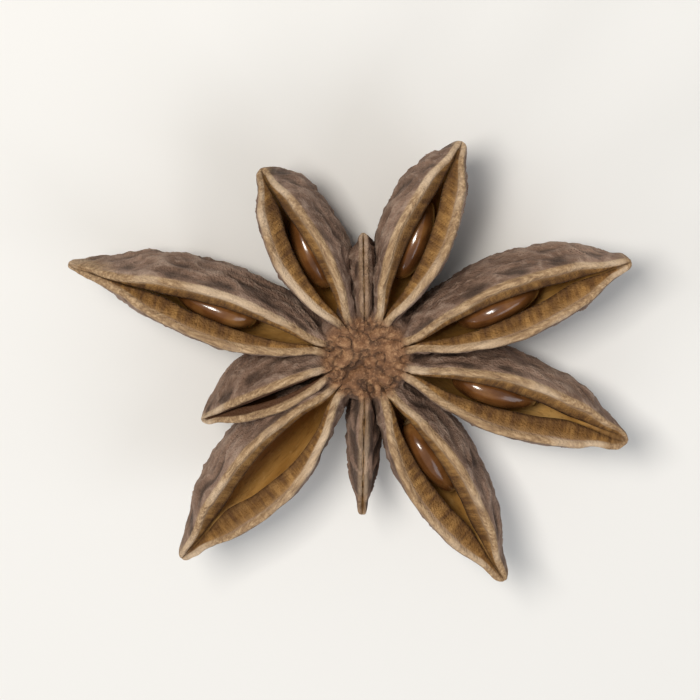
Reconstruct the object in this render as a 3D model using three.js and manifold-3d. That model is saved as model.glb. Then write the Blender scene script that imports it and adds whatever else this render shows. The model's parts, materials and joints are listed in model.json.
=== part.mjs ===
// Star anise pod: the dried woody fruit of the star anise tree, lying with its open side up.
// Eight carpels and two stunted ones stand like spokes round a short column. A carpel is a small
// wooden boat, split along its upper edge, with a glossy seed lying in it. The carpels and the
// column have grown together, so the husk is one solid, and each seed is a solid of its own.
// Units are millimetres and +Z is up. The pod lies on z = 0 on the bellies of its carpels, and the
// centre of its outline is on the Z axis.

import * as THREE from "three";
import { mergeVertices } from "three/addons/utils/BufferGeometryUtils.js";
import Module from "manifold-3d";

const wasm = await Module();
wasm.setup();

// Driving dimensions of a full-grown carpel.
const LENGTH = 15.5; // pod axis to the tip of the beak
const LIP_HEIGHT = 6.6; // floor to the lips at mid length
const HALF_WIDTH = 2.1; // outside of the belly
const HALF_GAPE = 1.36; // between the lips, where the split is widest
const HALF_MOUTH = 0.6; // of the hollow, between the lower edges of the sloping bands
const BAND_SLOPE = 1.15; // fall of those bands for each mm towards the hollow
const TIP_SLIT = 0.08; // how much further the split opens at the beak, each way
const TIP_SHUT = 0.08; // share of the length over which that opening shuts again at the very tip
const SEAM_SLIT = 0.04; // half the slit where the seam has stayed shut
const WALL = 0.5; // thickness beside the hollow
const LIP = 0.34; // thickness at the lips
const BEAK_HEIGHT = 0.6; // of the blunt end of the beak
const BEAK_SLANT = 0.3; // how far its upper edge reaches past its lower one
const SAG = 1.3; // of the keel's handles below the floor, which just flattens each belly

// The column in the middle.
const ROOT_RADIUS = 1.2; // where a carpel's seam comes out of it
const ROOT_HEIGHT = 5.5; // floor to that seam
const COLUMN_HEIGHT = 5.6; // floor to its lumpy top
const COLUMN_RADIUS = 2.9;
const SCAR_HEIGHT = 0.6; // floor to the rim of the scar that the stalk left

// Each carpel as it grew, going round the pod: heading in degrees from +X, length, width and gape
// as shares of the full ones, tipRise the lift of the beak and sweep its bend to the left in mm,
// lean the turn of its open side to the right in degrees, and the seed's size as a share of the
// full one, or 0 where it has fallen out.
const CARPELS = [
  { heading: 198, length: 1.02, width: 1.02, gape: 0.96, tipRise: 0.7, sweep: 1.3, lean: 0, seed: 1 },
  { heading: 247, length: 0.9, width: 0.93, gape: 0.9, tipRise: 0.5, sweep: 0.2, lean: 3, seed: 0.96 },
  { heading: 299, length: 0.83, width: 0.93, gape: 0.86, tipRise: 1.0, sweep: -0.6, lean: -6, seed: 0.9 },
  { heading: 345, length: 1.12, width: 0.96, gape: 0.84, tipRise: 0.6, sweep: -1.5, lean: 1, seed: 0.95 },
  { heading: 18, length: 0.63, width: 0.78, gape: 0.36, tipRise: 0.1, sweep: 0.3, lean: -8, seed: 0 },
  { heading: 49, length: 0.99, width: 1.05, gape: 1.14, tipRise: 0.7, sweep: -0.4, lean: -6, seed: 0 },
  { heading: 120, length: 0.96, width: 0.98, gape: 1.0, tipRise: 0.8, sweep: 0.5, lean: 4, seed: 0.97 },
  { heading: 161, length: 0.99, width: 1.0, gape: 0.98, tipRise: 0.3, sweep: 0.5, lean: -2, seed: 1 },
];
CARPELS[3].split = 0.88; // the longest one's split ends at this share, short of a slender beak
CARPELS[5].mouth = 1.3; // this empty hollow gapes wider, by this share
CARPELS[7].tipOpen = 0.5; // this beak has split wide open, by so many mm each way

// The stunted carpels never filled out or split: sizes as shares of a full-grown one, and lift the
// height of their bellies above the others' in mm.
const STUNTED = [
  { heading: 271, length: 0.47, width: 0.4, height: 0.84, lift: 2.2 },
  { heading: 89, length: 0.6, width: 0.44, height: 0.88, lift: 1.7 },
];

// How a carpel changes from its root, share 0, to its beak, share 1: each as [share, value].
const WIDTH_ALONG = [[0, 0.42], [0.18, 0.62], [0.48, 1], [0.72, 0.84], [0.88, 0.38], [1, 0.14]];
const GAPE_ALONG = [[0, 0.02], [0.12, 0.06], [0.3, 0.62], [0.52, 1], [0.76, 0.66], [0.9, 0.14], [1, 0]];
const MOUTH_ALONG = [[0, 0], [0.14, 0.02], [0.3, 0.72], [0.46, 1], [0.62, 0.7], [0.76, 0.1], [1, 0]];
const HOLLOW_ALONG = [[0, 0], [0.1, 0.02], [0.26, 0.85], [0.46, 1], [0.66, 0.86], [0.82, 0.12], [1, 0]];
const WALL_ALONG = [[0, 0.7], [0.4, 1], [0.75, 0.9], [1, 0.5]];

// Handles of the curves that run out along the keel and the lips, as shares of the length, and how
// far the lips' handles stand above or below LIP_HEIGHT.
const KEEL_HANDLES = [0.27, 0.78];
const LIP_HANDLES = [0.3, 0.75];
const LIP_SWELL = [0.5, -0.4];

// Handles of the curves across a section, as [share of the half width, share of the height].
const OUTSIDE_HANDLES = [[1.15, 0.02], [1.14, 0.66]];
const HOLLOW_HANDLES = [[1.25, 0], [1.25, 0.75]];

// Places on a section, as shares of the carpel's height.
const FLOOR_UP = 0.15; // bottom of the hollow
const LIP_UP = 0.985; // both edges of a lip, whose crest is at 1
const SEAM_DEPTH = 0.05; // of the shut stretches of the seam

// A full-grown seed: a flattened bean that stands on edge in the hollow.
const SEED = { length: 4.8, height: 3.7, thickness: 1.9 };
const SEED_PLACE = 0.47; // of the carpel's length, from its root
const SEED_REST = 0.75; // from the bottom of the hollow to the seed
const SEED_LEVEL = 0.42; // share of the carpel's height that the seed lies along

const CARPEL_FACETS = { stations: 20, outside: 6, hollow: 4 };
const STUNTED_FACETS = { stations: 12, outside: 4, hollow: 1 };
const COLUMN_FACETS = 24;
const SEED_FACETS = { round: 14, along: 9 };
const FLATNESS = 0.015; // how far near-flat faces may move as they are merged

// A smooth curve through points [x, y] that never overshoots them.
function smoothThrough(points, x) {
  const slope = (i) => (points[i + 1][1] - points[i][1]) / (points[i + 1][0] - points[i][0]);
  const tangent = (i) => {
    if (i === 0) return slope(0);
    if (i === points.length - 1) return slope(i - 1);
    const [before, after] = [slope(i - 1), slope(i)];
    return before * after <= 0 ? 0 : (2 * before * after) / (before + after);
  };
  let i = 0;
  while (i < points.length - 2 && x > points[i + 1][0]) i++;
  const span = points[i + 1][0] - points[i][0];
  const t = (x - points[i][0]) / span;
  const ease = t * t * (3 - 2 * t);
  return (
    points[i][1] * (1 - ease) +
    points[i + 1][1] * ease +
    span * t * (1 - t) * ((1 - t) * tangent(i) - t * tangent(i + 1))
  );
}

// The keel and the lips of a carpel in its own upright plane, where x runs out from the pod's axis.
function keelLine({ length, height = 1, tipRise = 0, lift = 0 }) {
  const reach = length * LENGTH;
  return new THREE.CubicBezierCurve(
    new THREE.Vector2(ROOT_RADIUS, SCAR_HEIGHT + 1),
    new THREE.Vector2(KEEL_HANDLES[0] * reach, lift - SAG),
    new THREE.Vector2(KEEL_HANDLES[1] * reach, lift - SAG),
    new THREE.Vector2(reach - BEAK_SLANT, LIP_HEIGHT * height + tipRise - BEAK_HEIGHT),
  );
}

function lipLine({ length, height = 1, tipRise = 0 }) {
  const reach = length * LENGTH;
  return new THREE.CubicBezierCurve(
    new THREE.Vector2(ROOT_RADIUS, ROOT_HEIGHT),
    new THREE.Vector2(LIP_HANDLES[0] * reach, (LIP_HEIGHT + LIP_SWELL[0]) * height),
    new THREE.Vector2(LIP_HANDLES[1] * reach, (LIP_HEIGHT + LIP_SWELL[1]) * height),
    new THREE.Vector2(reach, LIP_HEIGHT * height + tipRise),
  );
}

// The place in a carpel's own frame of a point at a share of its length, so far to the left of its
// upright plane, and at a share of its height.
function placeInCarpel(carpel, share, across, up) {
  const { sweep = 0, lean = 0 } = carpel;
  const keel = keelLine(carpel).getPoint(share);
  const lip = lipLine(carpel).getPoint(share);
  const turn = THREE.MathUtils.degToRad(lean) * THREE.MathUtils.smoothstep(share, 0, 0.7);
  const middle = (keel.y + lip.y) / 2;
  const rise = keel.y + (lip.y - keel.y) * up - middle;
  return new THREE.Vector3(
    keel.x + (lip.x - keel.x) * up,
    across * Math.cos(turn) - rise * Math.sin(turn) + sweep * share ** 2,
    middle + across * Math.sin(turn) + rise * Math.cos(turn),
  );
}

// Half a section of the boat, as [across, up] from the middle out to the lip: its outside, and its
// hollow with the sloping band that leads up to the lip.
function outsideHalf(halfWidth, lipHalf, steps) {
  const handles = OUTSIDE_HANDLES.map(([out, up]) => new THREE.Vector2(out * halfWidth, up));
  const curve = new THREE.CubicBezierCurve(
    new THREE.Vector2(0, 0),
    ...handles,
    new THREE.Vector2(lipHalf, LIP_UP),
  );
  return curve.getPoints(steps).map((p) => [p.x, p.y]);
}

function hollowHalf(floorUp, mouthUp, widest, mouthHalf, lipHalf, steps) {
  const height = mouthUp - floorUp;
  const handles = HOLLOW_HANDLES.map(
    ([out, up]) => new THREE.Vector2(out * widest, floorUp + up * height),
  );
  const curve = new THREE.CubicBezierCurve(
    new THREE.Vector2(0, floorUp),
    ...handles,
    new THREE.Vector2(mouthHalf, mouthUp),
  );
  return [...curve.getPoints(steps).map((p) => [p.x, p.y]), [lipHalf, LIP_UP]];
}

// Shallow creases of the dried skin: how far the outside stands out at a place on a carpel.
const CREASE = 0.1;
function crease(share, up, side, phase) {
  const along = Math.sin(2 * Math.PI * (3.3 * share + 0.9 * up * side) + phase);
  const across = Math.sin(2 * Math.PI * (1.6 * share - 1.7 * up) + 2.1 * phase + side);
  return CREASE * (along + 0.8 * across) * Math.sin(Math.PI * Math.min(1, up * 1.05));
}

// One ring of the boat's skin at a share of its length: the keel, up one outside, over the lip,
// down and up through the hollow, and over the other lip back down. Where the split ends early,
// the wall tapers sooner too.
function ring(carpel, number, share, facets) {
  const { width, gape = 0, mouth = 1, tipOpen = TIP_SLIT, split = 1 } = carpel;
  const { lerp, smoothstep } = THREE.MathUtils;
  const height = lipLine(carpel).getPoint(share).y - keelLine(carpel).getPoint(share).y;
  const tapered = Math.min(1, share / Math.sqrt(split));
  const splitShare = Math.min(1, share / split);
  const wide = HALF_WIDTH * width * smoothThrough(WIDTH_ALONG, tapered);
  const thickness = Math.min(1, width + 0.2) * smoothThrough(WALL_ALONG, share);
  const tipSlit = tipOpen * share ** 6 * smoothstep(1 - share, 0, TIP_SHUT);
  const halfGape = HALF_GAPE * gape * smoothThrough(GAPE_ALONG, splitShare) + tipSlit + SEAM_SLIT;
  const fullMouth = HALF_MOUTH * gape * mouth * smoothThrough(MOUTH_ALONG, splitShare);
  const halfMouth = fullMouth + 0.4 * tipSlit + 0.6 * SEAM_SLIT;
  const mouthUp = LIP_UP - (BAND_SLOPE * (halfGape - halfMouth)) / height;
  const open = gape ? smoothThrough(HOLLOW_ALONG, share) : 0;
  const floorUp = lerp(mouthUp - SEAM_DEPTH, FLOOR_UP, open);
  const widest = lerp(halfMouth, Math.max(halfMouth, wide - WALL * thickness), open);

  const outside = outsideHalf(wide, halfGape + LIP * thickness, facets.outside);
  const hollow = hollowHalf(floorUp, mouthUp, widest, halfMouth, halfGape, facets.hollow);
  const crest = [halfGape + 0.5 * LIP * thickness, 1];
  const creased = (side) =>
    outside.slice(1).map(([out, up]) => [side * (out + crease(share, up, side, 1.7 * number)), up]);
  const mirrored = (points) => points.map(([out, up]) => [-out, up]);
  const outline = [
    outside[0],
    ...creased(1),
    crest,
    ...hollow.slice(1).reverse(),
    hollow[0],
    ...mirrored(hollow.slice(1)),
    ...mirrored([crest]),
    ...creased(-1).reverse(),
  ];
  return outline.map(([across, up]) => placeInCarpel(carpel, share, across, up));
}

// A closed skin over rings of equally many points, with a fan over each end.
function skinOver(rings) {
  const count = rings[0].length;
  const middleOf = (points) =>
    points.reduce((sum, p) => sum.add(p), new THREE.Vector3()).divideScalar(points.length);
  const corners = [...rings.flat(), middleOf(rings[0]), middleOf(rings.at(-1))];
  const last = (rings.length - 1) * count;
  const faces = [];
  for (let k = 0; k < count; k++) {
    const next = (k + 1) % count;
    for (let i = 0; i < last; i += count) {
      faces.push(i + k, i + next, i + count + k);
      faces.push(i + next, i + count + next, i + count + k);
    }
    faces.push(corners.length - 2, next, k);
    faces.push(corners.length - 1, last + k, last + next);
  }
  return new THREE.BufferGeometry().setFromPoints(corners).setIndex(faces);
}

function carpelShape(carpel, number, facets) {
  const rings = [];
  for (let i = 0; i <= facets.stations; i++) {
    rings.push(ring(carpel, number, i / facets.stations, facets));
  }
  return skinOver(rings).rotateZ(THREE.MathUtils.degToRad(carpel.heading));
}

// The column that the carpels have grown on: the stalk's scar with its raised rim below, and a
// lumpy top with a pit in the middle.
function columnShape() {
  const profile = [
    [0, SCAR_HEIGHT + 0.3],
    [0.85, SCAR_HEIGHT + 0.3],
    [1.15, SCAR_HEIGHT],
    [1.55, SCAR_HEIGHT + 0.15],
    [0.92 * COLUMN_RADIUS, SCAR_HEIGHT + 1],
    [COLUMN_RADIUS, 0.5 * COLUMN_HEIGHT],
    [0.97 * COLUMN_RADIUS, 0.8 * COLUMN_HEIGHT],
    [0.8 * COLUMN_RADIUS, COLUMN_HEIGHT - 0.15],
    [0.5 * COLUMN_RADIUS, COLUMN_HEIGHT + 0.1],
    [0.2 * COLUMN_RADIUS, COLUMN_HEIGHT + 0.05],
    [0, COLUMN_HEIGHT - 0.2],
  ];
  const outline = profile.map(([radius, height]) => new THREE.Vector2(radius, height));
  const column = new THREE.LatheGeometry(outline, COLUMN_FACETS).rotateX(Math.PI / 2);
  const points = column.getAttribute("position");
  for (let i = 0; i < points.count; i++) {
    const round = Math.atan2(points.getY(i), points.getX(i));
    const out = Math.hypot(points.getX(i), points.getY(i)) / COLUMN_RADIUS;
    const lump = 0.16 * Math.sin(6 * round) + 0.1 * Math.sin(4 * round + 5 * out + 1);
    const top = THREE.MathUtils.smoothstep(points.getZ(i), 0.8 * COLUMN_HEIGHT, COLUMN_HEIGHT);
    points.setZ(i, points.getZ(i) + lump * top * Math.sin(Math.PI * Math.min(1, out)) ** 2);
  }
  return column;
}

// A seed as it lies in its carpel: blunt at the end nearer the column, where it was attached.
function seedShape(carpel) {
  const size = carpel.seed;
  const bean = new THREE.SphereGeometry(0.5, SEED_FACETS.round, SEED_FACETS.along).rotateZ(-Math.PI / 2);
  const points = bean.getAttribute("position");
  for (let i = 0; i < points.count; i++) {
    const blunt = 1 - 0.24 * points.getX(i);
    points.setXYZ(i, points.getX(i), points.getY(i) * blunt, points.getZ(i) * blunt);
  }
  bean.scale(SEED.length * size, SEED.thickness * size, SEED.height * size);

  const bottom = placeInCarpel(carpel, SEED_PLACE, 0, FLOOR_UP);
  const upward = placeInCarpel(carpel, SEED_PLACE, 0, 1).sub(bottom).normalize();
  const ahead = placeInCarpel(carpel, SEED_PLACE + 0.1, 0, SEED_LEVEL);
  const behind = placeInCarpel(carpel, SEED_PLACE - 0.1, 0, SEED_LEVEL);
  const left = new THREE.Vector3().crossVectors(upward, ahead.sub(behind)).normalize();
  const outward = new THREE.Vector3().crossVectors(left, upward);
  const middle = bottom.addScaledVector(upward, SEED_REST + 0.5 * SEED.height * size);
  return bean
    .applyMatrix4(new THREE.Matrix4().makeBasis(outward, left, upward).setPosition(middle))
    .rotateZ(THREE.MathUtils.degToRad(carpel.heading));
}

// A geometry as a solid that can be joined and cut, and back again.
function solidOf(geometry) {
  const bare = geometry.clone().deleteAttribute("normal").deleteAttribute("uv");
  const merged = mergeVertices(bare, 1e-4);
  return new wasm.Manifold(
    new wasm.Mesh({
      numProp: 3,
      vertProperties: new Float32Array(merged.attributes.position.array),
      triVerts: new Uint32Array(merged.index.array),
    }),
  );
}

function geometryOf(solid) {
  const mesh = solid.getMesh();
  return new THREE.BufferGeometry()
    .setAttribute("position", new THREE.BufferAttribute(new Float32Array(mesh.vertProperties), 3))
    .setIndex(new THREE.BufferAttribute(new Uint32Array(mesh.triVerts), 1));
}

// The husk: all carpels joined to the column, and flattened where the bellies meet the floor. Tiny
// pockets, shut in where two flanks meet, come apart as pieces of their own and are left out.
function huskSolid() {
  const carpels = [
    ...CARPELS.map((carpel, i) => carpelShape(carpel, i, CARPEL_FACETS)),
    ...STUNTED.map((carpel, i) => carpelShape(carpel, CARPELS.length + i, STUNTED_FACETS)),
  ];
  const slab = new THREE.BoxGeometry(4 * LENGTH, 4 * LENGTH, LENGTH).translate(0, 0, -LENGTH / 2);
  return [columnShape(), ...carpels]
    .map(solidOf)
    .reduce((husk, piece) => husk.add(piece))
    .subtract(solidOf(slab))
    .simplify(FLATNESS)
    .decompose()
    .reduce((largest, piece) => (piece.volume() > largest.volume() ? piece : largest));
}

const huskFinish = new THREE.MeshStandardMaterial({ color: "#8a5c38", roughness: 0.72, metalness: 0 });
const seedFinish = new THREE.MeshStandardMaterial({ color: "#6b3116", roughness: 0.25, metalness: 0 });

const pod = new THREE.Group();
const husk = new THREE.Mesh(geometryOf(huskSolid()), huskFinish);
husk.name = "husk";
pod.add(husk);
CARPELS.filter((carpel) => carpel.seed).forEach((carpel, i) => {
  const seed = new THREE.Mesh(seedShape(carpel), seedFinish);
  seed.name = `seed_${i + 1}`;
  pod.add(seed);
});

// The outline's centre goes on the Z axis.
const outlineCentre = new THREE.Box3().setFromObject(pod).getCenter(new THREE.Vector3());
pod.position.set(-outlineCentre.x, -outlineCentre.y, 0);

const part = new THREE.Group();
part.add(pod);
export default part;
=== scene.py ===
import json
import math

import bmesh
import bpy
import numpy as np
from mathutils import Matrix, Vector, noise

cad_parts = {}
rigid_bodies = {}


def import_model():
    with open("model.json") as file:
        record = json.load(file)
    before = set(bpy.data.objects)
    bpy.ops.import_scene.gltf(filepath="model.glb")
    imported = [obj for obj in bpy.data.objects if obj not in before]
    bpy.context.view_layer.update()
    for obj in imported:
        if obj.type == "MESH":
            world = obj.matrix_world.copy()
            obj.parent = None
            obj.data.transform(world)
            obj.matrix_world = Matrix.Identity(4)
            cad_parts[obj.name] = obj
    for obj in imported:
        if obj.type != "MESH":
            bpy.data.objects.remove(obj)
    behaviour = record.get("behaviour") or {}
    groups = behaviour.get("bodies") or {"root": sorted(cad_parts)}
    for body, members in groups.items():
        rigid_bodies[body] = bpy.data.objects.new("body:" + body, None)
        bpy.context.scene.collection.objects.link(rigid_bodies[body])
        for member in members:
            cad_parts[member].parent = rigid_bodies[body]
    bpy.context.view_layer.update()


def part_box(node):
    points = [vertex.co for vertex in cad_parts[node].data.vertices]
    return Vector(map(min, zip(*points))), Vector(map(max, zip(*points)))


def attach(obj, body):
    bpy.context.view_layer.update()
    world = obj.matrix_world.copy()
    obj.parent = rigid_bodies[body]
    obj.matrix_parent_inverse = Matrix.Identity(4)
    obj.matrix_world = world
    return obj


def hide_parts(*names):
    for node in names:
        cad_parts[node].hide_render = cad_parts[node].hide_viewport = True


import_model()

scene = bpy.context.scene


# ---- The carpels ---------------------------------------------------------------------------
# Eight woody fruit walls stand like spokes round the pod's axis, each a small boat, with two
# stunted ones between them. Each dried and split along its upper seam: the skin shrank into
# wrinkles, and the lips of the split drew apart.

MM = 0.001  # sizes are in mm until a mesh is made

LENGTH = 15.5  # pod axis to the tip of the beak
LIP_HEIGHT = 6.6  # floor to the lips at mid length
HALF_WIDTH = 2.1  # outside of the belly
HALF_GAPE = 1.36  # between the lips, where the split is widest
HALF_MOUTH = 0.6  # of the hollow, between the lower edges of the sloping bands
BAND_SLOPE = 1.15  # fall of those bands for each mm towards the hollow
TIP_SLIT = 0.08  # how much further the split opens at the beak, each way
TIP_SHUT = 0.08  # share of the length over which that opening shuts again at the very tip
TIP_LATE = 6  # power of the share of the length that it grows with, so that it starts late
SEAM_SLIT = 0.04  # half the slit where the seam has stayed shut
SLIT_BELOW = dict(tip=0.4, seam=0.6)  # how much of each is left at the bands' lower edges
WALL = 0.5  # thickness beside the hollow
SLIM_WALL = 0.2  # how much less a slim carpel's wall has thinned than its width, as a share
LIP = 0.34  # thickness at the lips
BEAK_HEIGHT = 0.6  # of the blunt end of the beak
BEAK_SLANT = 0.3  # how far its upper edge reaches past its lower one
BEAK_ROUND = 0.45  # length of its round end
BEAK_SHUT = 0.98  # how nearly that end closes before its last point
SAG = 1.3  # of the keel's handles below the floor, which flattens each belly
LEANS_OVER = 0.7  # share of the length over which a carpel takes up its lean
ROOT_RADIUS = 1.2  # where a carpel's seam comes out of the column
ROOT_HEIGHT = 5.5  # floor to that seam
SCAR_HEIGHT = 0.6  # floor to the rim of the scar that the stalk left
KEEL_RISE = 1  # from that rim to where the keel starts

# Heading in degrees from +X; length, width, height, gape and seed as shares of the full ones;
# tip_rise, sweep and lift in mm; lean in degrees. A seed of 0 has fallen out.
CARPELS = [
    dict(heading=198, length=1.02, width=1.02, gape=0.96, tip_rise=0.7, sweep=1.3, lean=0, seed=1),
    dict(heading=247, length=0.9, width=0.93, gape=0.9, tip_rise=0.5, sweep=0.2, lean=3, seed=0.96),
    dict(heading=299, length=0.83, width=0.93, gape=0.86, tip_rise=1, sweep=-0.6, lean=-6, seed=0.9),
    dict(heading=345, length=1.12, width=0.96, gape=0.84, tip_rise=0.6, sweep=-1.5, lean=1, seed=0.95),
    dict(heading=18, length=0.63, width=0.78, gape=0.36, tip_rise=0.1, sweep=0.3, lean=-8, seed=0),
    dict(heading=49, length=0.99, width=1.05, gape=1.14, tip_rise=0.7, sweep=-0.4, lean=-6, seed=0),
    dict(heading=120, length=0.96, width=0.98, gape=1, tip_rise=0.8, sweep=0.5, lean=4, seed=0.97),
    dict(heading=161, length=0.99, width=1, gape=0.98, tip_rise=0.3, sweep=0.5, lean=-2, seed=1),
]
CARPELS[3]["split"] = 0.88  # the longest one's split ends at this share, short of a slender beak
CARPELS[4]["dark_inside"] = 0.85  # the barely open one has painted shade inside, by this share
CARPELS[5]["mouth"] = 1.3  # this empty hollow gapes so many times as wide
CARPELS[7]["tip_open"] = 0.5  # this beak has split wide open, by so many mm each way
STUNTED = [
    dict(heading=271, length=0.47, width=0.4, height=0.84, lift=2.2),
    dict(heading=89, length=0.6, width=0.44, height=0.88, lift=1.7),
]
STUNTED[1]["dark_skin"] = 0.3  # this one has painted shade on its skin, which makes it darker than the rest by this share

# How a carpel changes from its root, share 0, to its beak, share 1.
WIDTH_ALONG = [(0, 0.42), (0.18, 0.62), (0.48, 1), (0.72, 0.84), (0.88, 0.38), (1, 0.14)]
GAPE_ALONG = [(0, 0.02), (0.12, 0.06), (0.3, 0.62), (0.52, 1), (0.76, 0.66), (0.9, 0.14), (1, 0)]
MOUTH_ALONG = [(0, 0), (0.14, 0.02), (0.3, 0.72), (0.46, 1), (0.62, 0.7), (0.76, 0.1), (1, 0)]
HOLLOW_ALONG = [(0, 0), (0.1, 0.02), (0.26, 0.85), (0.46, 1), (0.66, 0.86), (0.82, 0.12), (1, 0)]
WALL_ALONG = [(0, 0.7), (0.4, 1), (0.75, 0.9), (1, 0.5)]

# Handles of the curves along the keel and the lips, and across a section.
KEEL_HANDLES = (0.27, 0.78)
LIP_HANDLES = (0.3, 0.75)
LIP_SWELL = (0.5, -0.4)
OUTSIDE_HANDLES = ((1.15, 0.02), (1.14, 0.66))
HOLLOW_HANDLES = ((1.25, 0), (1.25, 0.75))

# Places on a section, as shares of the carpel's height.
FLOOR_UP = 0.15  # bottom of the hollow
LIP_UP = 0.985  # both edges of a lip
SEAM_DEPTH = 0.05  # of the shut stretches of the seam

# How finely a carpel is drawn: mean mm between its sections, which lie closer towards the beak,
# and steps on each stretch of half a section.
SECTION_STEP = 0.178
CLOSER_TO_BEAK = 1.25
STEPS = dict(outside=35, crest=5, band=7, hollow=10)


def smooth_through(points, x):
    """A curve through the points that never overshoots them."""
    at, value = np.array(points, float).T
    slope = np.diff(value) / np.diff(at)
    before, after = slope[:-1], slope[1:]
    same_way = before * after > 0
    mean = 2 * before * after / np.where(same_way, before + after, 1)
    tangent = np.concatenate([slope[:1], np.where(same_way, mean, 0), slope[-1:]])
    i = np.clip(np.searchsorted(at, x) - 1, 0, len(slope) - 1)
    span = at[i + 1] - at[i]
    t = (x - at[i]) / span
    ease = t * t * (3 - 2 * t)
    bend = span * t * (1 - t) * ((1 - t) * tangent[i] - t * tangent[i + 1])
    return value[i] * (1 - ease) + value[i + 1] * ease + bend


def smoothstep(x, low, high):
    """Eases from 0 at low to 1 at high."""
    t = np.clip((x - low) / (high - low), 0, 1)
    return t * t * (3 - 2 * t)


def bezier(a, b, c, d, t):
    """A cubic curve from a to d that leaves towards b and arrives from c."""
    return (1 - t) ** 3 * a + 3 * (1 - t) ** 2 * t * b + 3 * (1 - t) * t**2 * c + t**3 * d


def heights(carpel, share):
    """Where the keel and the lips are at a share of the length: x outwards and z up of each."""
    reach = carpel["length"] * LENGTH
    grown = carpel.get("height", 1)
    low = carpel.get("lift", 0) - SAG
    tip = LIP_HEIGHT * grown + carpel.get("tip_rise", 0)
    lip_handles = [(LIP_HEIGHT + swell) * grown for swell in LIP_SWELL]
    keel_x = bezier(
        ROOT_RADIUS, KEEL_HANDLES[0] * reach, KEEL_HANDLES[1] * reach, reach - BEAK_SLANT, share
    )
    keel_z = bezier(SCAR_HEIGHT + KEEL_RISE, low, low, tip - BEAK_HEIGHT, share)
    lip_x = bezier(ROOT_RADIUS, LIP_HANDLES[0] * reach, LIP_HANDLES[1] * reach, reach, share)
    lip_z = bezier(ROOT_HEIGHT, *lip_handles, tip, share)
    return keel_x, keel_z, lip_x, lip_z


def place(carpel, share, across, up):
    """The point at a share of a carpel's length and height, so far left of its upright plane."""
    keel_x, keel_z, lip_x, lip_z = heights(carpel, share)
    turn = math.radians(carpel.get("lean", 0)) * smoothstep(share, 0, LEANS_OVER)
    middle = (keel_z + lip_z) / 2
    rise = keel_z + (lip_z - keel_z) * up - middle
    sideways = across * np.cos(turn) - rise * np.sin(turn) + carpel.get("sweep", 0) * share**2
    upwards = middle + across * np.sin(turn) + rise * np.cos(turn)
    return np.stack([keel_x + (lip_x - keel_x) * up, sideways, upwards], -1)


def heading_turn(carpel):
    """Turns rows of points in a carpel's own frame to its heading."""
    turn = math.radians(carpel["heading"])
    cos, sin = math.cos(turn), math.sin(turn)
    return np.array([[cos, sin, 0], [-sin, cos, 0], [0, 0, 1]])


def half_section(carpel, share):
    """Half of each section, from the keel over the lip to the bottom of the hollow.

    Gives across and up at each step, the mm from the lip along the surface, and how far inside
    each step is: 0 on the outside, 0 to 1 down the sloping band, 1 to 2 down an open hollow.
    Where the split ends early, the wall tapers sooner too.
    """
    width = carpel["width"]
    gape = carpel.get("gape", 0)
    split = carpel.get("split", 1)
    tapered = np.minimum(1, share / math.sqrt(split))
    split_share = np.minimum(1, share / split)
    _, keel_z, _, lip_z = heights(carpel, share)
    wide = HALF_WIDTH * width * smooth_through(WIDTH_ALONG, tapered)
    thickness = min(1, width + SLIM_WALL) * smooth_through(WALL_ALONG, share)
    tip_shut = smoothstep(1 - share, 0, TIP_SHUT)
    tip_slit = carpel.get("tip_open", TIP_SLIT) * share**TIP_LATE * tip_shut
    half_gape = HALF_GAPE * gape * smooth_through(GAPE_ALONG, split_share) + tip_slit + SEAM_SLIT
    widest_mouth = HALF_MOUTH * gape * carpel.get("mouth", 1)
    full_mouth = widest_mouth * smooth_through(MOUTH_ALONG, split_share)
    half_mouth = full_mouth + SLIT_BELOW["tip"] * tip_slit + SLIT_BELOW["seam"] * SEAM_SLIT
    mouth_up = LIP_UP - BAND_SLOPE * (half_gape - half_mouth) / (lip_z - keel_z)
    opened = smooth_through(HOLLOW_ALONG, share) * (gape > 0)
    floor_up = mouth_up - SEAM_DEPTH + (FLOOR_UP - mouth_up + SEAM_DEPTH) * opened
    widest = half_mouth + (np.maximum(half_mouth, wide - WALL * thickness) - half_mouth) * opened

    t = np.linspace(0, 1, STEPS["outside"] + 1)
    (out_low, up_low), (out_high, up_high) = OUTSIDE_HANDLES
    outside = (
        bezier(0, out_low * wide, out_high * wide, half_gape + LIP * thickness, t),
        bezier(0, up_low, up_high, LIP_UP, t) + 0 * share,
    )
    t = np.linspace(0, 1, STEPS["crest"] + 2)[1:-1]
    crest = (
        half_gape + LIP * thickness * (1 - t),
        LIP_UP + (1 - LIP_UP) * np.sqrt(1 - (2 * t - 1) ** 2) + 0 * share,
    )
    t = np.linspace(0, 1, STEPS["band"] + 1)
    band = (half_gape + (half_mouth - half_gape) * t, LIP_UP + (mouth_up - LIP_UP) * t)
    t = np.linspace(1, 0, STEPS["hollow"] + 1)[1:]
    (out_low, up_low), (out_high, up_high) = HOLLOW_HANDLES
    hollow = (
        bezier(0, out_low * widest, out_high * widest, half_mouth, t),
        floor_up + bezier(0, up_low, up_high, 1, t) * (mouth_up - floor_up),
    )
    across, up = (np.concatenate(parts, 1) for parts in zip(outside, crest, band, hollow))
    step = np.hypot(np.diff(across, axis=1), np.diff(up, axis=1) * (lip_z - keel_z))
    run = np.concatenate([0 * share, np.cumsum(step, 1)], 1)
    lip_edges = run[:, [STEPS["outside"]]], run[:, [STEPS["outside"] + STEPS["crest"] + 1]]
    from_lip = np.maximum(lip_edges[0] - run, run - lip_edges[1]).clip(0)
    inside = [
        np.zeros(STEPS["outside"] + 1 + STEPS["crest"]) + 0 * share,
        np.linspace(0, 1, STEPS["band"] + 1) + 0 * share,
        1 + np.linspace(0, 1, STEPS["hollow"] + 1)[1:] * opened,
    ]
    return across, up, from_lip, np.concatenate(inside, 1)


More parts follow.
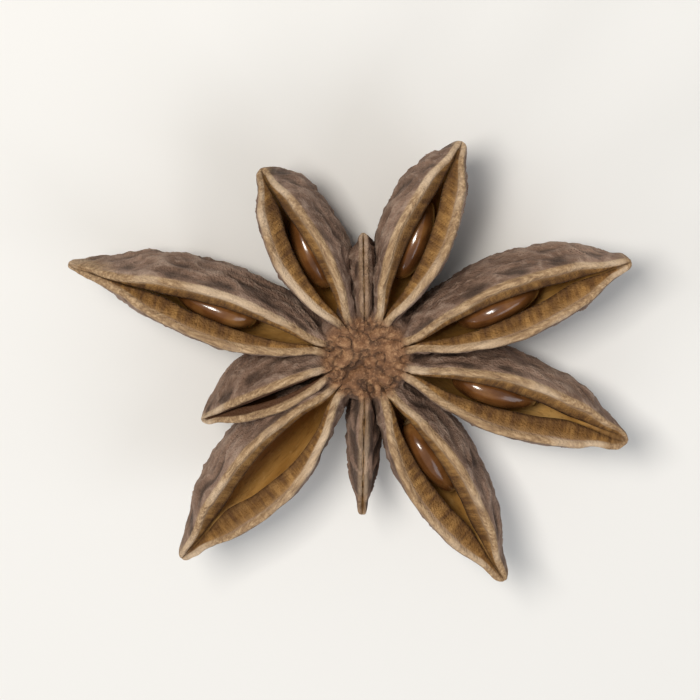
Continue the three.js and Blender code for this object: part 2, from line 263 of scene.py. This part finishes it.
def rough(points, size):
    """Smooth noise from -1 to 1 at points, with lumps of about that size along each axis."""
    scaled = points.reshape(-1, 3) / size
    values = np.array([noise.noise(Vector(p)) for p in scaled])
    return values.reshape(points.shape[:-1])


# Relief of the dried wall: how high it stands, and its size along, across and up the carpel.
LUMP, LUMP_SIZE = 0.17, (4.5, 2.6, 2.6)  # the whole wall bulges and dents
WRINKLE, WRINKLE_SIZE = 0.3, (2.6, 1.05, 1.05)  # folds of the skin, mostly lengthwise
CREASE, CREASE_SIZE = 0.11, (1.1, 0.62, 0.62)  # finer ones between them
WANDER, WANDER_SIZE = 0.6, 1.7  # how far both stray, and over what distance
LIP_WAVE, LIP_WAVE_SIZE = 0.09, (1.3, 0.9, 3)  # the uneven edge of the split
LIP_TEAR, LIP_TEAR_SIZE = 0.06, (0.5, 0.5, 2)  # and its small tears
RIM, RIM_BELOW, RIM_WIDTH = 0.07, 0.35, 0.22  # the skin's edge, so many mm below the lips
EDGE, EDGE_WIDTH = 0.05, 0.13  # of the hard lining: mm, and a share of the hollow's depth
WRINKLE_LEVEL, CREASE_LEVEL = 0.42, 0.5  # of a fold or a crease where it neither rises nor sinks

# Where that relief fades.
WRINKLED_FROM_LIPS = (0.1, 1.1)  # mm from the lips: smooth, wholly wrinkled
WRINKLED_FROM_ROOT = (0.02, 0.12)  # shares of the length: smooth, wholly wrinkled
UNEVEN_TO = 0.5  # mm from the lips
BEAK_RELIEF, BEAK_SHARE = 0.4, 0.25  # share left at the tip, and share of the length it fades over
HOLLOW_LUMP, HOLLOW_FROM = 0.3, (1, 1.3)  # share of the lumps in the hollow, and where they begin
SPLIT_FILL = 0.6  # how far relief may reach towards the middle of the split, as a share

# What the finish depends on. A ragged border shifts by so many times the lips' unevenness.
TORN, TORN_RAGGED = (0.02, 0.22), 0.9  # mm from the lips: wholly torn, not at all
SEAM_WORN = 0.45  # how far a seam that never split is as pale as torn wood
BEAK_WORN = 0.65  # how far the beaks have been rubbed as pale as that
BEAK_FROM, BEAK_RAGGED = (0.88, 1.02), 0.35  # shares of the split's length: not worn, most worn
RUBBED, RUBBED_RAGGED = (0.3, 1.6), 1.5  # mm from the lips: most rubbed, least
LEAST_RUBBED = 0.7  # how much less a beak is rubbed there
LIGHTNESS = dict(least=0.12, fold=0.8, crease=0.35)  # of the skin's painted shade and light, from dark creases to light ridges
GRAIN_APART = 60  # mm from one carpel's grain to the next one's, so that no two are alike


def relief(carpel, number, share, across, up, from_lip, inside):
    """How far the dried wall stands out at each point, its grain, and what its finish needs.

    That is how far inside a point is, how torn, and how light. Outside, light is painted shade
    and light: 0 in a deep crease and 1 on a high ridge. Inside, it is 1 where unshaded and less
    where shade is painted into a barely open carpel.
    """
    _, keel_z, _, lip_z = heights(carpel, share)
    run = share * carpel["length"] * LENGTH + 0 * up
    grain = np.stack([run + GRAIN_APART * number, across, up * (lip_z - keel_z)], -1)
    strays = [rough(grain + start, WANDER_SIZE) for start in (7, 19, 31)]
    warped = grain + WANDER * np.stack(strays, -1)
    fold = (1 - np.abs(rough(warped, WRINKLE_SIZE))) ** 3
    crease = (1 - np.abs(rough(warped, CREASE_SIZE))) ** 2
    lump = rough(grain, LUMP_SIZE)

    outside = inside == 0
    opened = smooth_through(HOLLOW_ALONG, share)
    slim = BEAK_RELIEF + (1 - BEAK_RELIEF) * smoothstep(1 - share, 0, BEAK_SHARE)
    wrinkled = smoothstep(from_lip, *WRINKLED_FROM_LIPS) * smoothstep(share, *WRINKLED_FROM_ROOT)
    folds = WRINKLE * (fold - WRINKLE_LEVEL) + CREASE * (crease - CREASE_LEVEL)
    uneven = LIP_WAVE * rough(grain, LIP_WAVE_SIZE) + LIP_TEAR * rough(grain, LIP_TEAR_SIZE)
    stands = (
        outside * slim * wrinkled * (folds + LUMP * lump)
        + (1 - smoothstep(from_lip, 0, UNEVEN_TO)) * uneven
        + outside * slim * RIM * np.exp(-(((from_lip - RIM_BELOW) / RIM_WIDTH) ** 2))
        + EDGE * opened * np.exp(-(((inside - 1) / EDGE_WIDTH) ** 2))
        + HOLLOW_LUMP * LUMP * lump * smoothstep(inside, *HOLLOW_FROM)
    )
    # In the upper half, where the split is, relief stops short of the middle, so that its two
    # sides never grow through each other.
    stands = np.where(up > 0.5, np.minimum(stands, SPLIT_FILL * np.abs(across)), stands)

    torn = 1 - smoothstep(from_lip + TORN_RAGGED * uneven, *TORN)
    if not carpel.get("gape"):
        torn *= SEAM_WORN
    beak = smoothstep(share / carpel.get("split", 1) + BEAK_RAGGED * uneven, *BEAK_FROM)
    rubbed = 1 - LEAST_RUBBED * smoothstep(from_lip + RUBBED_RAGGED * uneven, *RUBBED)
    torn = np.maximum(torn, BEAK_WORN * beak * rubbed)
    # Painted shade in the skin's creases and painted light on its ridges, and painted shade on a
    # shaded carpel's skin and inside a barely open one.
    ridge = LIGHTNESS["least"] + LIGHTNESS["fold"] * fold
    ridge += LIGHTNESS["crease"] * (crease - CREASE_LEVEL) - carpel.get("dark_skin", 0)
    light = np.where(outside, np.clip(ridge, 0, 1), 1 - carpel.get("dark_inside", 0))
    return stands, grain, np.stack([inside, torn, light], -1)


def carpel_mesh(name, carpel, number):
    """One carpel as a closed mesh, with its grain in mm along, across and up on each corner."""
    reach = carpel["length"] * LENGTH
    left = np.linspace(1, 0, round(reach / SECTION_STEP) + 1)
    share = 1 - left[:, None] ** CLOSER_TO_BEAK
    across, up, from_lip, inside = (
        np.concatenate([half, side * half[:, -2:0:-1]], 1)
        for half, side in zip(half_section(carpel, share), (-1, 1, 1, 1))
    )
    points = place(carpel, share, across, up)
    stands, grain, wall = relief(carpel, number, share, across, up, from_lip, inside)
    around = np.roll(points, -1, 1) - np.roll(points, 1, 1)
    normal = np.cross(around, np.gradient(points, axis=0))
    normal /= np.linalg.norm(normal, axis=-1, keepdims=True) + 1e-12
    points += normal * stands[..., None]

    # The beak closes in a small round end.
    close = np.clip(1 - (1 - share) * reach / BEAK_ROUND, 0, 1)
    middle = points.mean(1, keepdims=True)
    points = middle + (points - middle) * np.sqrt(1 - BEAK_SHUT * close**2)[..., None]

    rings, count = points.shape[:2]
    ends = np.stack([points[0].mean(0), points[-1].mean(0)])
    corners = np.concatenate([points.reshape(-1, 3), ends]) @ heading_turn(carpel)
    grains, walls = (
        np.concatenate([field.reshape(-1, 3), field[0, :1], field[-1, :1]]) for field in (grain, wall)
    )
    return mesh_with_grain(name, corners, skin_over(rings, count), grains, walls)


def skin_over(rings, count):
    """Faces over rings of so many points each, with a fan round one more point at each end."""
    here = np.arange(count)
    after = (here + 1) % count
    start = np.arange(rings - 1)[:, None] * count
    quads = [start + here, start + after, start + count + after, start + count + here]
    first_end, last = rings * count, (rings - 1) * count
    faces = np.stack(quads, -1).reshape(-1, 4).tolist()
    faces += [(first_end, b, a) for a, b in zip(here.tolist(), after.tolist())]
    faces += [(first_end + 1, last + a, last + b) for a, b in zip(here.tolist(), after.tolist())]
    return faces


def mesh_with_grain(name, corners, faces, grains, walls):
    """A mesh from points in mm, with what the finish needs to know stored on each corner."""
    mesh = bpy.data.meshes.new(name)
    mesh.from_pydata((corners * MM).tolist(), [], faces)
    loops = np.zeros(len(mesh.loops), np.int32)
    mesh.loops.foreach_get("vertex_index", loops)
    for layer, values in (("grain", grains), ("wall", walls)):
        stored = mesh.attributes.new(layer, "FLOAT_VECTOR", "CORNER")
        stored.data.foreach_set("vector", values[loops].astype(np.float32).ravel())
    return bpy.data.objects.new(name, mesh)


grown = bpy.data.collections.new("grown")
scene.collection.children.link(grown)
for number, carpel in enumerate(CARPELS + STUNTED):
    grown.objects.link(carpel_mesh(f"carpel_{number + 1}", carpel, number))


# ---- The column ----------------------------------------------------------------------------
# The carpels have grown together on a short woody column. Its top is a lumpy disc where their
# seams meet round a pit, and under it the stalk broke off and left a scar with a raised rim.

COLUMN_HEIGHT = 5.6
COLUMN_RADIUS = 2.9
COLUMN_PROFILE = [
    (0, SCAR_HEIGHT + 0.3),
    (0.85, SCAR_HEIGHT + 0.3),
    (1.15, SCAR_HEIGHT),
    (1.55, SCAR_HEIGHT + 0.15),
    (0.92 * COLUMN_RADIUS, SCAR_HEIGHT + 1),
    (COLUMN_RADIUS, 0.5 * COLUMN_HEIGHT),
    (0.97 * COLUMN_RADIUS, 0.8 * COLUMN_HEIGHT),
    (0.8 * COLUMN_RADIUS, COLUMN_HEIGHT - 0.15),
    (0.5 * COLUMN_RADIUS, COLUMN_HEIGHT + 0.1),
    (0.2 * COLUMN_RADIUS, COLUMN_HEIGHT + 0.05),
    (0, COLUMN_HEIGHT - 0.2),
]
COLUMN_ROUND = 110  # points round the column
PROFILE_STEP = 0.14  # mm between points along the profile
TOP_LUMPS, TOP_TWIST = 0.16, 0.1  # mm that six lumps rise on its top, and four that wind round it
SCAR_LOW = (SCAR_HEIGHT + 0.2, SCAR_HEIGHT + 0.6)  # mm above the floor: wholly scar, not at all
SCAR_ROUND = (0.95, 1.25)  # mm from the axis: wholly scar, not at all
SCAR_PALE = 0.55  # how far the scar is as pale as torn wood
COLUMN_LIGHT = 0.5  # halfway between the skin's creases and its ridges
COLUMN_GRAIN = 900  # mm, which puts the column's grain clear of the carpels'


def column_mesh():
    """The column, whose scar counts as partly torn wood."""
    profile = np.array(COLUMN_PROFILE)
    run = np.concatenate([[0], np.cumsum(np.linalg.norm(np.diff(profile, axis=0), axis=1))])
    even = np.linspace(0, run[-1], int(run[-1] / PROFILE_STEP))[1:-1, None]
    radius = smooth_through(np.stack([run, profile[:, 0]], 1), even)
    level = smooth_through(np.stack([run, profile[:, 1]], 1), even)
    angle = np.linspace(0, 2 * math.pi, COLUMN_ROUND, endpoint=False)
    out = radius / COLUMN_RADIUS
    lump = TOP_LUMPS * np.sin(6 * angle) + TOP_TWIST * np.sin(4 * angle + 5 * out + 1)
    top = smoothstep(level, 0.8 * COLUMN_HEIGHT, COLUMN_HEIGHT)
    level = level + lump * top * np.sin(math.pi * np.minimum(1, out)) ** 2
    rings = np.stack([radius * np.cos(angle), radius * np.sin(angle), level], -1)
    ends = np.array([[0, 0, profile[0, 1]], [0, 0, profile[-1, 1]]])
    corners = np.concatenate([rings.reshape(-1, 3), ends])
    low = 1 - smoothstep(corners[:, 2], *SCAR_LOW)
    scar = low * (1 - smoothstep(np.hypot(corners[:, 0], corners[:, 1]), *SCAR_ROUND))
    walls = np.stack([0 * scar, SCAR_PALE * scar, COLUMN_LIGHT + 0 * scar], -1)
    faces = skin_over(len(radius), COLUMN_ROUND)
    return mesh_with_grain("column", corners, faces, corners + COLUMN_GRAIN, walls)


husk = column_mesh()
scene.collection.objects.link(husk)


# ---- The husk ------------------------------------------------------------------------------
# Column and carpels are one piece of wood, so they are joined into one closed mesh. Round the
# axis the joins have healed over into soft, grainy knobs. It is a sun-dried fruit wall: a dull
# wrinkled skin, pale torn lips, and a hollow with a hard smooth lining.

HEALED_OVER = (1.7, 3.1)  # mm from the axis: wholly healed, not at all
HEALING = 8  # rounds of smoothing
HEAL_STEP = 0.6  # share of the way to its neighbours' mean that a point moves in each round
KNOB, KNOB_SIZE = 0.3, 0.8  # height of the knobs, and their size across
KNOB_STEEP, KNOB_LEVEL = 2.2, 0.6  # how steep their sides are, and the level that adds no height
KNOB_START = 5  # where in the noise the knobs begin
GRIT, GRIT_SIZE = 0.14, 0.36  # the same of the grains on them
KNOBBLY_ABOVE = (3.5, 5)  # mm above the floor: no knobs, all of them
KNOBBLY_UPWARDS = (0, 0.6)  # upward share of the surface's direction: no knobs, all of them
GRIT_BUMP, FIBRE_BUMP = 0.12, 0.05  # mm, of what is finer than the mesh

join = husk.modifiers.new("join", "BOOLEAN")
join.operation = "UNION"
join.solver = "MANIFOLD"
join.operand_type = "COLLECTION"
join.collection = grown
bpy.context.view_layer.update()
joined = bpy.data.meshes.new_from_object(husk.evaluated_get(bpy.context.evaluated_depsgraph_get()))
husk.modifiers.clear()
husk.data = joined
husk.name = "husk_wall"
for carpel in list(grown.objects):
    bpy.data.objects.remove(carpel)
bpy.data.collections.remove(grown)


def drop_pockets(mesh):
    """Leaves out the tiny pockets that are shut in where two flanks meet."""
    shape = bmesh.new()
    shape.from_mesh(mesh)
    reached = set()
    rim = {max(shape.verts, key=lambda corner: corner.co.length)}
    while rim:
        reached |= rim
        rim = {edge.other_vert(corner) for corner in rim for edge in corner.link_edges} - reached
    pockets = [corner for corner in shape.verts if corner not in reached]
    bmesh.ops.delete(shape, geom=pockets, context="VERTS")
    shape.to_mesh(mesh)
    shape.free()


def points_of(mesh):
    """A mesh's points in mm."""
    points = np.zeros(len(mesh.vertices) * 3)
    mesh.vertices.foreach_get("co", points)
    return points.reshape(-1, 3) / MM


def set_points(mesh, points):
    """Moves a mesh's points to these, in mm."""
    mesh.vertices.foreach_set("co", (points * MM).ravel())
    mesh.update()


def heal(mesh):
    """Smooths the joins near the axis, and raises grainy knobs on the column's top.

    The knobs leave out what faces sideways or down, where they could shut a narrow slit.
    How healed each point is, and how high on a knob, is stored for the finish, which paints
    shade low between the knobs.
    """
    points = points_of(mesh)
    ends = np.zeros(len(mesh.edges) * 2, np.int32)
    mesh.edges.foreach_get("vertices", ends)
    one, other = ends.reshape(-1, 2).T
    neighbours = np.bincount(ends, minlength=len(points))[:, None]
    healed = 1 - smoothstep(np.hypot(points[:, 0], points[:, 1]), *HEALED_OVER)
    for _ in range(HEALING):
        total = np.zeros_like(points)
        np.add.at(total, one, points[other])
        np.add.at(total, other, points[one])
        points += HEAL_STEP * healed[:, None] * (total / neighbours - points)
    set_points(mesh, points)
    normals = np.zeros(len(points) * 3)
    mesh.vertices.foreach_get("normal", normals)
    normals = normals.reshape(-1, 3)
    top = healed * smoothstep(points[:, 2], *KNOBBLY_ABOVE)
    swell = KNOB_STEEP * np.abs(rough(points + KNOB_START, KNOB_SIZE))
    knob = 1 - (1 - np.minimum(1, swell)) ** 2
    stands = KNOB * (knob - KNOB_LEVEL) + GRIT * rough(points, GRIT_SIZE)
    faces_up = smoothstep(normals[:, 2], *KNOBBLY_UPWARDS)
    points += normals * (top * faces_up * stands)[:, None]
    points[:, 2] = np.maximum(points[:, 2], 0)
    set_points(mesh, points)
    for layer, values in (("healed", top), ("knob", knob)):
        stored = mesh.attributes.new(layer, "FLOAT", "POINT")
        stored.data.foreach_set("value", values.astype(np.float32))


drop_pockets(husk.data)
heal(husk.data)

# The husk is centred on its solid's box, and keeps its height above the floor.
low, high = (np.array(corner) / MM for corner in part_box("husk"))
own = points_of(husk.data)
shift = ((low + high) - (own.min(0) + own.max(0))) / 2 * (1, 1, 0)
set_points(husk.data, own + shift)
husk.data.polygons.foreach_set("use_smooth", [True] * len(husk.data.polygons))


def linear(hex_colour):
    """An sRGB hex colour as the linear colour that Blender works in."""
    parts = [int(hex_colour[i : i + 2], 16) / 255 for i in (1, 3, 5)]
    return [c / 12.92 if c <= 0.04045 else ((c + 0.055) / 1.055) ** 2.4 for c in parts] + [1]


def node(tree, kind, inputs=None, stops=None, **settings):
    """Adds a node with its settings. An input takes a value, or is linked where it is a socket."""
    made = tree.nodes.new(kind)
    for name, value in settings.items():
        setattr(made, name, value)
    if stops:
        ramp = made.color_ramp.elements
        while len(ramp) < len(stops):
            ramp.new(0.5)
        for element, (position, colour) in zip(ramp, stops):
            element.position = position
            element.color = linear(colour)
    for name, value in (inputs or {}).items():
        if isinstance(value, bpy.types.NodeSocket):
            tree.links.new(value, made.inputs[name])
        else:
            made.inputs[name].default_value = value
    return made


def sun_dried_fruit_wall():
    """Dull and dusty outside with painted shade in its creases, pale where torn, glossier in the
    hollow.
    """
    material = bpy.data.materials.new("sun-dried woody fruit wall")
    material.use_nodes = True
    tree = material.node_tree
    shader = tree.nodes["Principled BSDF"]
    grain = node(tree, "ShaderNodeAttribute", attribute_name="grain").outputs["Vector"]
    healed = node(tree, "ShaderNodeAttribute", attribute_name="healed").outputs["Fac"]
    knob = node(tree, "ShaderNodeAttribute", attribute_name="knob").outputs["Fac"]
    wall = node(tree, "ShaderNodeAttribute", attribute_name="wall").outputs["Vector"]
    inside, torn, light = node(tree, "ShaderNodeSeparateXYZ", {0: wall}).outputs

    def spots(size, stretch=1, detail=3, roughness=0.55):
        """Noise with spots of that size in mm, stretched so many times along the carpel."""
        along = (1 / stretch, 1, 1)
        squeezed = node(tree, "ShaderNodeVectorMath", {0: grain, 1: along}, operation="MULTIPLY")
        values = {"Vector": squeezed.outputs[0], "Scale": 1 / size, "Detail": detail}
        return node(
            tree, "ShaderNodeTexNoise", {**values, "Roughness": roughness}
        ).outputs["Fac"]

    def ramp(value, *stops):
        """Colours that follow a value, from stop to stop."""
        return node(tree, "ShaderNodeValToRGB", {"Fac": value}, stops=stops).outputs["Color"]

    def between(value, low, high, most=1.0, least=0.0):
        """Eases from the least, where the value is at low, to the most, where it is at high."""
        values = {"Value": value, "From Min": low, "From Max": high, "To Min": least, "To Max": most}
        made = node(tree, "ShaderNodeMapRange", values, interpolation_type="SMOOTHSTEP")
        return made.outputs["Result"]

    def mix(share, one, other):
        """One colour with that share of the other."""
        return node(
            tree, "ShaderNodeMix", {0: share, 6: one, 7: other}, data_type="RGBA"
        ).outputs[2]

    # The grit and the fibres along the carpel are drawn coarser than the real ones, to show.
    patches = spots(2.4, stretch=1.7)
    mottle = spots(0.42, stretch=1.5, detail=5, roughness=0.65)
    grit = spots(0.13, detail=2)
    threads = spots(0.15, stretch=7)  # fibres that run along the carpel
    cross = spots(2.6, stretch=0.16, detail=5, roughness=0.7)  # fibres across the sloping bands
    bleached = spots(3.2, stretch=2)  # where the sun has paled the lips

    skin = ramp(patches, (0.32, "#684f3f"), (0.5, "#806553"), (0.7, "#977c6a"))
    skin = mix(between(mottle, 0.5, 0.72, 0.6), skin, linear("#a89180"))
    skin = mix(between(mottle, 0.5, 0.3, 0.55), skin, linear("#483428"))
    # Painted shade in the creases, and painted light on the high ridges.
    skin = mix(between(light, 0.5, 0.15, 0.75), skin, linear("#3a2a1f"))
    skin = mix(between(light, 0.65, 1.0, 0.5), skin, linear("#ab9482"))
    band = ramp(cross, (0.38, "#5b3a14"), (0.5, "#7b5524"), (0.62, "#9c733c"))
    band = mix(between(mottle, 0.52, 0.72, 0.35), band, linear("#5c3d18"))
    band = mix(between(patches, 0.5, 0.3, 0.4), band, linear("#553615"))
    # Painted shade down the band towards the hollow, and painted light near the lips.
    band = mix(between(inside, 0.45, 1.0, 0.55), band, linear("#4a2d0f"))
    band = mix(between(inside, 0.5, 0.05, 0.5), band, linear("#a9865a"))
    lining = ramp(patches, (0.3, "#94682f"), (0.5, "#b18445"), (0.7, "#c99f5f"))
    lining = mix(between(threads, 0.48, 0.75, 0.6), lining, linear("#7c5226"))
    lining = mix(between(mottle, 0.55, 0.8, 0.5), lining, linear("#d3b077"))
    lips = ramp(threads, (0.3, "#7d6146"), (0.5, "#9b7d5a"), (0.7, "#bd9f7b"))
    lips = mix(between(bleached, 0.47, 0.66, 0.7), lips, linear("#cfb79b"))
    knobs = ramp(mottle, (0.34, "#5b3d26"), (0.5, "#7a5436"), (0.66, "#a07955"))
    # Painted shade low between the knobs.
    knobs = mix(between(knob, 0.6, 0.1, 0.75), knobs, linear("#3c2616"))
    knobs = mix(between(grit, 0.55, 0.7, 0.5), knobs, linear("#b08a64"))

    colour = mix(between(inside, 1.0, 1.15), band, lining)
    # Painted shade inside the barely open carpel.
    colour = mix(between(light, 1.0, 0.0), colour, linear("#4a2b12"))
    colour = mix(between(inside, 0.02, 0.2), skin, colour)
    colour = mix(between(torn, 0.1, 0.9), colour, lips)
    colour = mix(between(healed, 0.1, 0.8), colour, knobs)
    tree.links.new(colour, shader.inputs["Base Color"])

    roughness = between(inside, 1.0, 1.15, most=0.38, least=0.78)
    tree.links.new(roughness, shader.inputs["Roughness"])
    shader.inputs["Specular IOR Level"].default_value = 0.45

    matt = between(inside, 1.0, 1.2, most=0.15, least=1.0)
    height = node(tree, "ShaderNodeMath", {0: mottle, 1: grit}, operation="ADD").outputs[0]
    gritty = {"Height": height, "Strength": matt, "Distance": GRIT_BUMP * MM}
    bumps = node(tree, "ShaderNodeBump", gritty)
    fibres = {"Height": threads, "Strength": 0.35, "Distance": FIBRE_BUMP * MM}
    fibrous = node(tree, "ShaderNodeBump", {**fibres, "Normal": bumps.outputs["Normal"]})
    tree.links.new(fibrous.outputs["Normal"], shader.inputs["Normal"])
    return material


husk.data.materials.clear()
husk.data.materials.append(sun_dried_fruit_wall())
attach(husk, "root")
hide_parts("husk")


# ---- The seeds -----------------------------------------------------------------------------
# A hard flattened bean lies on edge in most carpels. Its coat is polished chestnut brown, and at
# the blunt end nearer the column it has a pale scar, where it hung on its stalk.

SEED = dict(length=4.8, thickness=1.9, height=3.7)
SEED_PLACE = 0.47  # of the carpel's length, from its root
SEED_LEVEL = 0.42  # share of the carpel's height that the seed lies along
SEED_SWELL = 1.06  # the real seed fills the hollow
SEED_BLUNT = 0.92  # power of its girth: below 1, its ends are blunter than an ellipse's
SEED_TAPER = 0.24  # how much slimmer its outer end is than its inner one, as a share
SEED_SQUARE = 2.3  # power of its sections: above 2, they are squarer than an ellipse
SEED_RIDGE, SEED_RIDGE_SHARP = 0.035, 14  # the ridge along its edges: its height and narrowness
SEED_ALONG, SEED_ROUND = 56, 64  # steps from end to end, and points round it
SEED_TIP = (0.02, 0, 0)  # how far the last point of each end stands past its ring
SEED_DENT, SEED_DENT_SIZE = 0.035, 1.7  # depth as a share of the bean, and mm across
SEED_APART, COAT_APART = 40, 20  # mm from one seed's dents and tints to the next one's
STREAK_WIDTH, STREAK_BUMP = 0.35, 0.04  # mm
TINTS_PER_MM = 0.55
SCAR = dict(radius=0.62, depth=0.12, rim=(0.75, 1.05))  # mm, and shares of the radius


def seed_points(size):
    """The bean, as rings from its inner end to its outer one, in mm."""
    along = np.linspace(0, math.pi, SEED_ALONG + 1)[1:-1, None]
    angle = np.linspace(0, 2 * math.pi, SEED_ROUND, endpoint=False)
    x = -0.5 * np.cos(along)
    radius = 0.5 * np.sin(along) ** SEED_BLUNT * (1 - SEED_TAPER * x)
    cos, sin = np.cos(angle), np.sin(angle)
    squared = (np.abs(cos) ** SEED_SQUARE + np.abs(sin) ** SEED_SQUARE) ** (-1 / SEED_SQUARE)
    edge = 1 + SEED_RIDGE * np.abs(sin) ** SEED_RIDGE_SHARP
    y = radius * squared * cos
    z = radius * squared * edge * sin
    full = np.array([SEED["length"], SEED["thickness"], SEED["height"]])
    return np.stack([x + 0 * y, y, z], -1) * full * size * SEED_SWELL


def polished_seed_coat():
    """Chestnut brown with faint streaks and a clear gloss, and pale on the scar."""
    material = bpy.data.materials.new("polished seed coat")
    material.use_nodes = True
    tree = material.node_tree
    shader = tree.nodes["Principled BSDF"]
    where = node(tree, "ShaderNodeAttribute", attribute_name="bean").outputs["Vector"]
    tinted = {"Vector": where, "Scale": TINTS_PER_MM, "Detail": 3}
    tint = node(tree, "ShaderNodeTexNoise", tinted)
    coat = node(
        tree,
        "ShaderNodeValToRGB",
        {"Fac": tint.outputs["Fac"]},
        stops=[(0.3, "#4a2b14"), (0.52, "#6b4321"), (0.72, "#8b6135")],
    ).outputs["Color"]
    along = node(tree, "ShaderNodeVectorMath", {0: where, 1: (0.25, 1, 1)}, operation="MULTIPLY")
    stretched = {"Vector": along.outputs[0], "Scale": 1 / STREAK_WIDTH, "Detail": 3}
    streaks = node(tree, "ShaderNodeTexNoise", stretched).outputs["Fac"]
    dark = {"Value": streaks, "From Min": 0.5, "From Max": 0.68, "To Max": 0.45}
    streaked = {0: node(tree, "ShaderNodeMapRange", dark).outputs[0], 6: coat, 7: linear("#3e2210")}
    coat = node(tree, "ShaderNodeMix", streaked, data_type="RGBA").outputs[2]
    scar = node(tree, "ShaderNodeAttribute", attribute_name="scar").outputs["Fac"]
    coloured = {0: scar, 6: coat, 7: linear("#a88a62")}
    colour = node(tree, "ShaderNodeMix", coloured, data_type="RGBA").outputs[2]
    tree.links.new(colour, shader.inputs["Base Color"])
    waves = {"Height": streaks, "Strength": 0.3, "Distance": STREAK_BUMP * MM}
    wavy = node(tree, "ShaderNodeBump", waves).outputs["Normal"]
    tree.links.new(wavy, shader.inputs["Normal"])
    tree.links.new(wavy, shader.inputs["Coat Normal"])
    shader.inputs["Roughness"].default_value = 0.2
    shader.inputs["IOR"].default_value = 1.5
    shader.inputs["Coat Weight"].default_value = 0.4
    shader.inputs["Coat Roughness"].default_value = 0.08
    return material


def seed_axes(carpel):
    """Outward, left and upward of a seed that lies in this carpel."""
    bottom, top = (place(carpel, np.array(SEED_PLACE), 0, up) for up in (FLOOR_UP, 1))
    ahead, behind = (
        place(carpel, np.array(SEED_PLACE + step), 0, SEED_LEVEL) for step in (0.1, -0.1)
    )
    upward = (top - bottom) / np.linalg.norm(top - bottom)
    left = np.cross(upward, ahead - behind)
    left /= np.linalg.norm(left)
    return np.stack([np.cross(left, upward), left, upward])


seed_coat = polished_seed_coat()
seeded = [(number, carpel) for number, carpel in enumerate(CARPELS) if carpel["seed"]]
for i, (number, carpel) in enumerate(seeded):
    name = f"seed_{i + 1}"
    points = seed_points(carpel["seed"])
    points *= 1 + SEED_DENT * rough(points + SEED_APART * number, SEED_DENT_SIZE)[..., None]
    ends = np.stack([points[0].mean(0) - SEED_TIP, points[-1].mean(0) + SEED_TIP])
    bean = np.concatenate([points.reshape(-1, 3), ends])
    from_scar = np.linalg.norm(bean[:, 1:], axis=1) / SCAR["radius"]
    scarred = (bean[:, 0] < 0) * (1 - smoothstep(from_scar, *SCAR["rim"]))
    bean[:, 0] += SCAR["depth"] * scarred

    seed_low, seed_high = (np.array(corner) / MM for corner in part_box(name))
    corners = bean @ seed_axes(carpel) @ heading_turn(carpel) + (seed_low + seed_high) / 2
    faces = [face[::-1] for face in skin_over(*points.shape[:2])]
    mesh = bpy.data.meshes.new(f"{name}_coat")
    mesh.from_pydata((corners * MM).tolist(), [], faces)
    stored = mesh.attributes.new("bean", "FLOAT_VECTOR", "POINT")
    stored.data.foreach_set("vector", (bean + COAT_APART * number).astype(np.float32).ravel())
    stored = mesh.attributes.new("scar", "FLOAT", "POINT")
    stored.data.foreach_set("value", scarred.astype(np.float32))
    mesh.polygons.foreach_set("use_smooth", [True] * len(mesh.polygons))
    mesh.materials.append(seed_coat)
    seed = bpy.data.objects.new(f"{name}_coat", mesh)
    scene.collection.objects.link(seed)
    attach(seed, "root")
    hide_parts(name)


# ---- Floor, light and camera ---------------------------------------------------------------
# A pale matt tabletop under soft studio light, and a long lens that looks down on the pod from
# its near side, with that side at the top of the picture.

FLOOR_SIZE = 0.6  # m, as are all lengths in this section
half = FLOOR_SIZE / 2
floor_mesh = bpy.data.meshes.new("floor")
floor_mesh.from_pydata(
    [(-half, -half, 0), (half, -half, 0), (half, half, 0), (-half, half, 0)], [], [(0, 1, 2, 3)]
)
floor = bpy.data.objects.new("floor", floor_mesh)
scene.collection.objects.link(floor)
paper = bpy.data.materials.new("matt paper")
paper.use_nodes = True
paper.node_tree.nodes["Principled BSDF"].inputs["Base Color"].default_value = linear("#dcdbd8")
paper.node_tree.nodes["Principled BSDF"].inputs["Roughness"].default_value = 0.9
floor_mesh.materials.append(paper)

world = bpy.data.worlds.new("studio")
world.use_nodes = True
world.node_tree.nodes["Background"].inputs["Color"].default_value = linear("#eceef0")
world.node_tree.nodes["Background"].inputs["Strength"].default_value = 0.42
scene.world = world

AIM = Vector((0, 0, 0.0045))  # on the pod's axis, a little above half its height
CAMERA_ELEVATION = 72  # degrees above the floor
CAMERA_DISTANCE = 0.26
CAMERA_CLIP = 0.01  # nearest that it sees
FRAME_WIDTH = 0.039  # of what the picture shows at the pod


def softbox(name, direction, distance, size, watts, colour):
    """A square area light that faces the pod from a direction, so far away."""
    light = bpy.data.lights.new(name, "AREA")
    light.size = size
    light.energy = watts
    light.color = linear(colour)[:3]
    lamp = bpy.data.objects.new(name, light)
    scene.collection.objects.link(lamp)
    towards = Vector(direction).normalized()
    lamp.location = AIM + towards * distance
    lamp.rotation_euler = towards.to_track_quat("Z", "Y").to_euler()


softbox("key", (0.3, -0.45, 1.1), 0.3, 0.09, 0.75, "#fffaf3")
softbox("fill", (-0.9, 0.5, 0.8), 0.35, 0.25, 0.35, "#f3f7ff")
softbox("rim", (0.8, 0.9, 0.5), 0.35, 0.12, 0.3, "#ffffff")

camera_data = bpy.data.cameras.new("camera")
camera_data.lens = camera_data.sensor_width * CAMERA_DISTANCE / FRAME_WIDTH
camera_data.clip_start = CAMERA_CLIP
camera = bpy.data.objects.new("camera", camera_data)
scene.collection.objects.link(camera)
elevation = math.radians(CAMERA_ELEVATION)
back = Vector((0, -math.cos(elevation), math.sin(elevation)))
camera.location = AIM + back * CAMERA_DISTANCE
upright = back.to_track_quat("Z", "Y").to_matrix()
camera.rotation_euler = (upright @ Matrix.Rotation(math.pi, 3, "Z")).to_euler()
scene.camera = camera
scene.view_settings.view_transform = "Standard"
